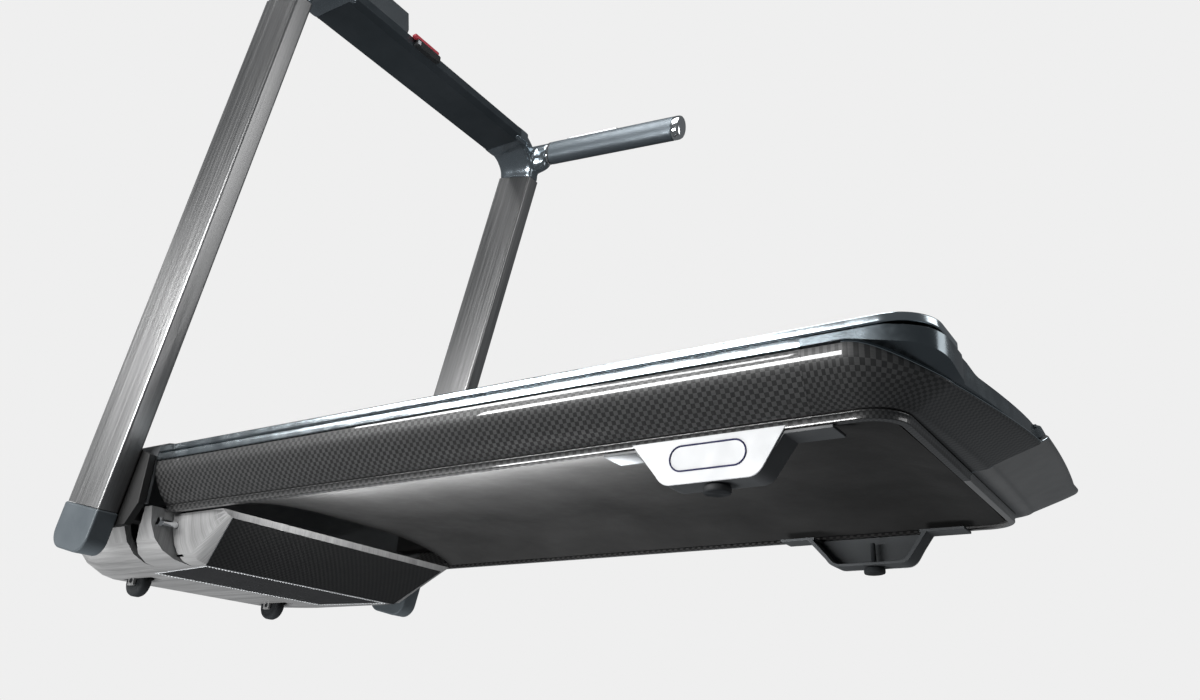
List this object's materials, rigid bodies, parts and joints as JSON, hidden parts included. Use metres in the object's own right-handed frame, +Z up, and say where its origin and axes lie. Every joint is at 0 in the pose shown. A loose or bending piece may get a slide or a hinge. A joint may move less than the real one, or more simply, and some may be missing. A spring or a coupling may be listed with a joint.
{
  "type": "folding motor treadmill",
  "caption": "Low home treadmill with a flat running deck, long foot rails, leaning square-tube uprights, a narrow console bar and straight forward-to-user hand grips; folds flat for storage.",
  "frame": {"origin": "centre of the box round the whole machine, on the floor", "axes": "+X towards the user end of the deck, +Y towards the right hand of a user who faces the console, +Z up; the deck stands 2.1 degrees nose-up"},
  "size_m": [1.6086, 0.724, 1.1204],
  "materials": {
    "running_belt_pvc": "fine diamond weave, matt",
    "deck_board": "phenolic faced board",
    "roller_steel": "turned",
    "black_painted_steel": "satin powder coat",
    "motor_black": "semi gloss",
    "drive_belt_rubber": "ribbed",
    "controller_case": "plain sheet",
    "graphite_plastic": "satin",
    "brushed_tray": "woven and brushed film",
    "mesh_black": "punched",
    "wheel_rubber": "matt",
    "satin_silver": "satin",
    "carbon_weave_plastic": "carbon weave film",
    "satin_grey_plastic": "fine grain",
    "belly_black": "matt",
    "bracket_grey": "powder coat",
    "badge_plate": "satin",
    "foot_rubber": "matt",
    "chrome_bright": "polished",
    "upright_metal": "brushed along",
    "console_metal": "metallic satin",
    "elbow_gloss": "metallic gloss",
    "screen_glass": "gloss",
    "button_red": "satin",
    "button_black": "satin",
    "grip_skin": "fine diagonal grain",
    "pulse_steel": "brushed"
  },
  "bodies": {
    "deck": {"running_belt": "running_belt_pvc", "running_board": "deck_board", "front_axle": "roller_steel", "rear_axle": "roller_steel", "frame_side_left": "black_painted_steel", "frame_side_right": "black_painted_steel", "frame_cross_front": "black_painted_steel", "frame_cross_rear": "black_painted_steel", "motor": "motor_black", "drive_belt": "drive_belt_rubber", "motor_controller": "controller_case", "motor_hood": "graphite_plastic", "motor_tray": "brushed_tray", "vent_mesh": "mesh_black", "foot_rail_left": "satin_silver", "foot_rail_right": "satin_silver", "side_skirt_left": "carbon_weave_plastic", "trim_strip_left": "satin_silver", "side_skirt_right": "carbon_weave_plastic", "trim_strip_right": "satin_silver", "rear_bumper_left": "carbon_weave_plastic", "rear_bumper_right": "satin_grey_plastic", "rear_trim": "satin_silver", "belly_pan": "belly_black", "foot_bracket_left": "bracket_grey", "bracket_plate_left": "badge_plate", "foot_bracket_right": "bracket_grey", "bracket_plate_right": "badge_plate", "hinge_bracket_left": "black_painted_steel", "hinge_bracket_right": "black_painted_steel"},
    "handrail": {"upright_left": "upright_metal", "upright_right": "upright_metal", "upright_cap_left": "graphite_plastic", "upright_cap_right": "graphite_plastic", "console_bar": "console_metal", "display_panel": "screen_glass", "tablet_rest": "graphite_plastic", "elbow_left": "elbow_gloss", "elbow_right": "elbow_gloss", "grip_left": "grip_skin", "grip_right": "grip_skin", "grip_cap_left": "chrome_bright", "grip_cap_right": "chrome_bright", "pulse_pad_left": "pulse_steel", "pulse_pad_right": "pulse_steel"},
    "front_roller": {"front_roller": "roller_steel"},
    "rear_roller": {"rear_roller": "roller_steel"},
    "motor_pulley": {"motor_pulley": "roller_steel"},
    "transport_wheel_left": {"transport_wheel_left": "wheel_rubber"},
    "transport_wheel_right": {"transport_wheel_right": "wheel_rubber"},
    "leveling_foot_left": {"leveling_foot_left": "foot_rubber"},
    "leveling_foot_right": {"leveling_foot_right": "foot_rubber"},
    "lock_pin_left": {"lock_pin_left": "chrome_bright"},
    "lock_pin_right": {"lock_pin_right": "chrome_bright"},
    "start_stop_button": {"start_stop_button": "button_red"},
    "speed_up_button": {"speed_up_button": "button_black"},
    "speed_down_button": {"speed_down_button": "button_black"},
    "safety_key": {"safety_key": "button_red"},
    "power_rocker": {"power_rocker": "button_red"}
  },
  "joints": [
    {"name": "handrail_fold", "type": "hinge", "parent": "deck", "child": "handrail", "pos_m": [-0.55712, 0, 0.13407], "axis": [0, 1, 0], "range_deg": [0, 60]},
    {"name": "front_roller_spin", "type": "hinge", "parent": "deck", "child": "front_roller", "pos_m": [-0.37906, 0, 0.15948], "axis": [0, 1, 0], "continuous": true},
    {"name": "rear_roller_spin", "type": "hinge", "parent": "deck", "child": "rear_roller", "pos_m": [0.73217, 0, 0.11819], "axis": [0, 1, 0], "continuous": true},
    {"name": "motor_pulley_spin", "type": "hinge", "parent": "deck", "child": "motor_pulley", "pos_m": [-0.61157, 0, 0.09607], "axis": [0, 1, 0], "continuous": true},
    {"name": "transport_wheel_left_spin", "type": "hinge", "parent": "deck", "child": "transport_wheel_left", "pos_m": [-0.71024, -0.147, 0.02598], "axis": [0, 1, 0], "continuous": true},
    {"name": "transport_wheel_right_spin", "type": "hinge", "parent": "deck", "child": "transport_wheel_right", "pos_m": [-0.71024, 0.147, 0.02598], "axis": [0, 1, 0], "continuous": true},
    {"name": "leveling_foot_left_screw", "type": "slide", "parent": "deck", "child": "leveling_foot_left", "axis": [0, 0, -1], "range_m": [0, 0.012]},
    {"name": "leveling_foot_right_screw", "type": "slide", "parent": "deck", "child": "leveling_foot_right", "axis": [0, 0, -1], "range_m": [0, 0.012]},
    {"name": "lock_pin_left_pull", "type": "slide", "parent": "deck", "child": "lock_pin_left", "axis": [0, -1, 0], "range_m": [0, 0.012], "stiffness_N_per_m": 900, "springref_m": -0.004},
    {"name": "lock_pin_right_pull", "type": "slide", "parent": "deck", "child": "lock_pin_right", "axis": [0, 1, 0], "range_m": [0, 0.012], "stiffness_N_per_m": 900, "springref_m": -0.004},
    {"name": "start_stop_press", "type": "slide", "parent": "handrail", "child": "start_stop_button", "axis": [-0.2761, 0, -0.9611], "range_m": [0, 0.002], "stiffness_N_per_m": 1200, "springref_m": -0.0006},
    {"name": "speed_up_press", "type": "slide", "parent": "handrail", "child": "speed_up_button", "axis": [-0.2761, 0, -0.9611], "range_m": [0, 0.002], "stiffness_N_per_m": 1200, "springref_m": -0.0006},
    {"name": "speed_down_press", "type": "slide", "parent": "handrail", "child": "speed_down_button", "axis": [-0.2761, 0, -0.9611], "range_m": [0, 0.002], "stiffness_N_per_m": 1200, "springref_m": -0.0006},
    {"name": "safety_key_pull", "type": "slide", "parent": "handrail", "child": "safety_key", "axis": [0.9993, 0, -0.0371], "range_m": [0, 0.03]},
    {"name": "power_rocker_tilt", "type": "hinge", "parent": "deck", "child": "power_rocker", "pos_m": [-0.79611, 0, 0.13895], "axis": [0, 1, 0], "range_deg": [-6, 6]}
  ],
  "couplings": [
    {"joint": "rear_roller_spin", "follows": "front_roller_spin", "ratio": 1},
    {"joint": "motor_pulley_spin", "follows": "front_roller_spin", "ratio": 2.7882}
  ]
}
